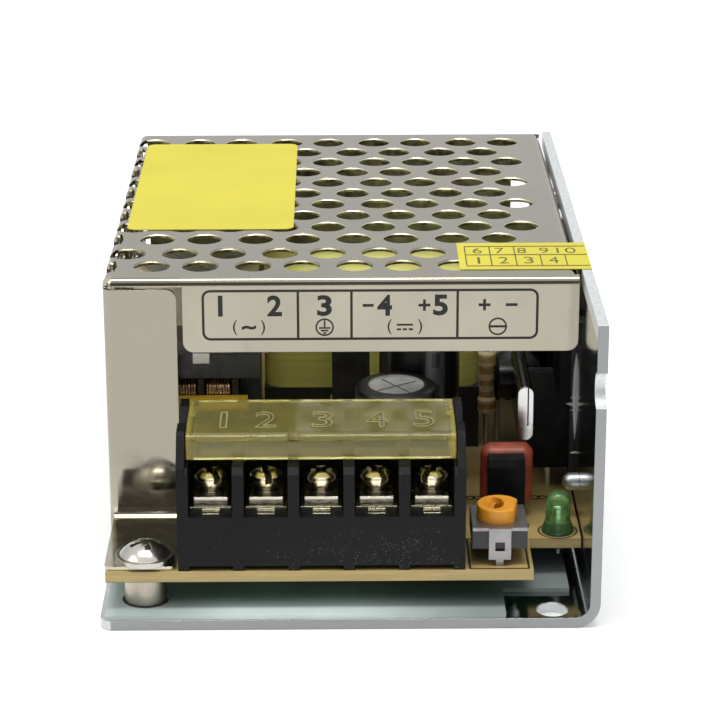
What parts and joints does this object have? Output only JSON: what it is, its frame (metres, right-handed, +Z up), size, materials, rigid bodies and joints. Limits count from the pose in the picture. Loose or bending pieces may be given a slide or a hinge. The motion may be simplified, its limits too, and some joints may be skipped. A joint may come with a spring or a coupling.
{
  "type": "power supply",
  "caption": "Open-frame switching power supply with an L-shaped aluminium chassis, a perforated folded cover and a screw terminal block under a hinged clear cover.",
  "frame": {"origin": "middle of the base's underside", "axes": "+X to the right seen from the terminals, +Y from the terminals to the back, +Z up out of the base"},
  "size_m": [0.058, 0.085, 0.0371],
  "materials": {
    "chassis_metal": "bare, fine brushed",
    "cover_metal": "plated, satin",
    "film": "milky, satin",
    "screw_metal": "plated, bright",
    "board_laminate": "bare laminate",
    "housing_black": "moulded, satin",
    "contact_metal": "plated",
    "terminal_screw_metal": "plated, bright",
    "clear_yellow": "clear, tinted",
    "trimmer_black": "moulded",
    "trimmer_metal": "plated",
    "rotor_orange": "moulded",
    "lamp_green": "tinted, diffuse",
    "dipped_red": "dipped",
    "package_black": "moulded",
    "can_sleeve": "shrunk sleeve",
    "bulk_sleeve": "shrunk sleeve",
    "ferrite": "fired, dull",
    "bobbin_black": "moulded",
    "tape_yellow": "film tape",
    "bobbin_yellow": "moulded",
    "copper_wire": "varnished",
    "clip_metal": "spring sheet",
    "disc_black": "dipped",
    "resistor_beige": "lacquered",
    "pad_grey": "soft pad",
    "bar_metal": "bright",
    "fuse_body": "glazed",
    "box_yellow": "moulded",
    "disc_blue": "dipped",
    "opto_white": "moulded",
    "label_yellow": "coated sticker"
  },
  "bodies": {
    "supply_case": {"chassis": "chassis_metal", "cover": "cover_metal", "base_film": "film", "standoffs": "screw_metal", "board_screws": "screw_metal", "side_screws": "screw_metal", "circuit_board": "board_laminate", "terminal_housing": "housing_black", "terminal_contacts": "contact_metal", "trimmer_body": "trimmer_black", "trimmer_frame": "trimmer_metal", "indicator_lamp": "lamp_green", "film_capacitor": "dipped_red", "regulator": "package_black", "output_capacitor_front": "can_sleeve", "output_capacitor_rear": "can_sleeve", "bulk_capacitor": "bulk_sleeve", "transformer_core": "ferrite", "transformer_bobbin": "bobbin_black", "transformer_winding": "tape_yellow", "transformer_tape": "tape_yellow", "choke_core": "ferrite", "choke_bobbin": "bobbin_yellow", "choke_winding": "copper_wire", "choke_clip": "clip_metal", "thermistor": "disc_black", "standing_resistor": "resistor_beige", "output_rectifier": "package_black", "switch_transistor": "package_black", "thermal_pads": "pad_grey", "clamp_bars": "bar_metal", "clamp_screws": "screw_metal", "fuse": "fuse_body", "bridge_rectifier": "package_black", "line_capacitor": "box_yellow", "safety_capacitor": "disc_blue", "control_chip": "package_black", "optocoupler": "opto_white", "supply_capacitor": "bulk_sleeve", "board_resistors": "resistor_beige", "top_label": "label_yellow", "seal_label": "label_yellow"},
    "hinged_cover": {"terminal_cover": "clear_yellow"},
    "adjuster": {"trimmer_rotor": "rotor_orange"},
    "wire_clamp_1": {"terminal_screw_1": "terminal_screw_metal", "clamp_plate_1": "contact_metal"},
    "wire_clamp_2": {"terminal_screw_2": "terminal_screw_metal", "clamp_plate_2": "contact_metal"},
    "wire_clamp_3": {"terminal_screw_3": "terminal_screw_metal", "clamp_plate_3": "contact_metal"},
    "wire_clamp_4": {"terminal_screw_4": "terminal_screw_metal", "clamp_plate_4": "contact_metal"},
    "wire_clamp_5": {"terminal_screw_5": "terminal_screw_metal", "clamp_plate_5": "contact_metal"}
  },
  "joints": [
    {"name": "cover_hinge", "type": "hinge", "parent": "supply_case", "child": "hinged_cover", "pos_m": [-0.00325, -0.02695, 0.021], "axis": [-1, 0, 0], "range_deg": [0, 90]},
    {"name": "adjuster_turn", "type": "hinge", "parent": "supply_case", "child": "adjuster", "pos_m": [0.01745, -0.0355, 0.0111], "axis": [0, 0, 1], "range_deg": [-105, 105]},
    {"name": "wire_clamp_1_lift", "type": "slide", "parent": "supply_case", "child": "wire_clamp_1", "axis": [0, 0, 1], "range_m": [0, 0.0018]},
    {"name": "wire_clamp_2_lift", "type": "slide", "parent": "supply_case", "child": "wire_clamp_2", "axis": [0, 0, 1], "range_m": [0, 0.0018]},
    {"name": "wire_clamp_3_lift", "type": "slide", "parent": "supply_case", "child": "wire_clamp_3", "axis": [0, 0, 1], "range_m": [0, 0.0018]},
    {"name": "wire_clamp_4_lift", "type": "slide", "parent": "supply_case", "child": "wire_clamp_4", "axis": [0, 0, 1], "range_m": [0, 0.0018]},
    {"name": "wire_clamp_5_lift", "type": "slide", "parent": "supply_case", "child": "wire_clamp_5", "axis": [0, 0, 1], "range_m": [0, 0.0018]}
  ]
}
